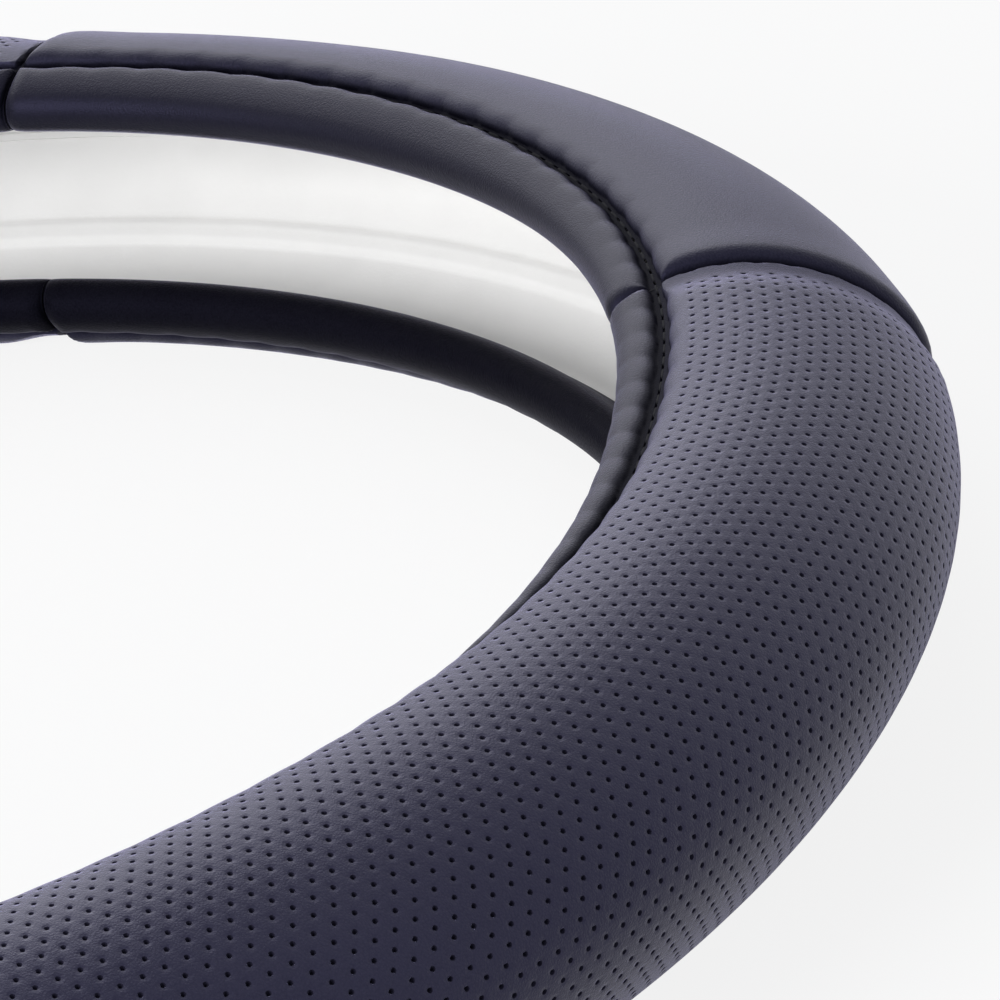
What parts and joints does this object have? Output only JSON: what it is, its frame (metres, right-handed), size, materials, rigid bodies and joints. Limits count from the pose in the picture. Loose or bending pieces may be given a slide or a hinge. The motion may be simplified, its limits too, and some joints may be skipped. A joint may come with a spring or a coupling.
{
  "type": "steering wheel cover",
  "caption": "Soft ring-shaped leather cover with an open C section that clips over a steering wheel rim, with perforated side panels and plain top and bottom panels.",
  "frame": {"origin": "middle of the ring at the level of the surface that it lies on", "axes": "+Z along the wheel's axis towards the driver's side, +Y towards 12 o'clock (a plain panel), +X towards 3 o'clock (a perforated panel)"},
  "size_m": [0.3906, 0.3906, 0.0474],
  "materials": {
    "liner_rubber": "matt pale rubber",
    "perforated_leather": "matt fine-grained leather with small round perforations",
    "smooth_leather": "matt fine-grained leather",
    "strip_leather": "matt fine-grained leather"
  },
  "bodies": {
    "root": {"rubber_liner": "liner_rubber", "perforated_panel_right": "perforated_leather", "perforated_panel_left": "perforated_leather", "smooth_panel_top": "smooth_leather", "smooth_panel_bottom": "smooth_leather", "front_strip_right": "strip_leather", "front_strip_top": "strip_leather", "front_strip_left": "strip_leather", "front_strip_bottom": "strip_leather", "back_strip_right": "strip_leather", "back_strip_top": "strip_leather", "back_strip_left": "strip_leather", "back_strip_bottom": "strip_leather"}
  },
  "joints": []
}
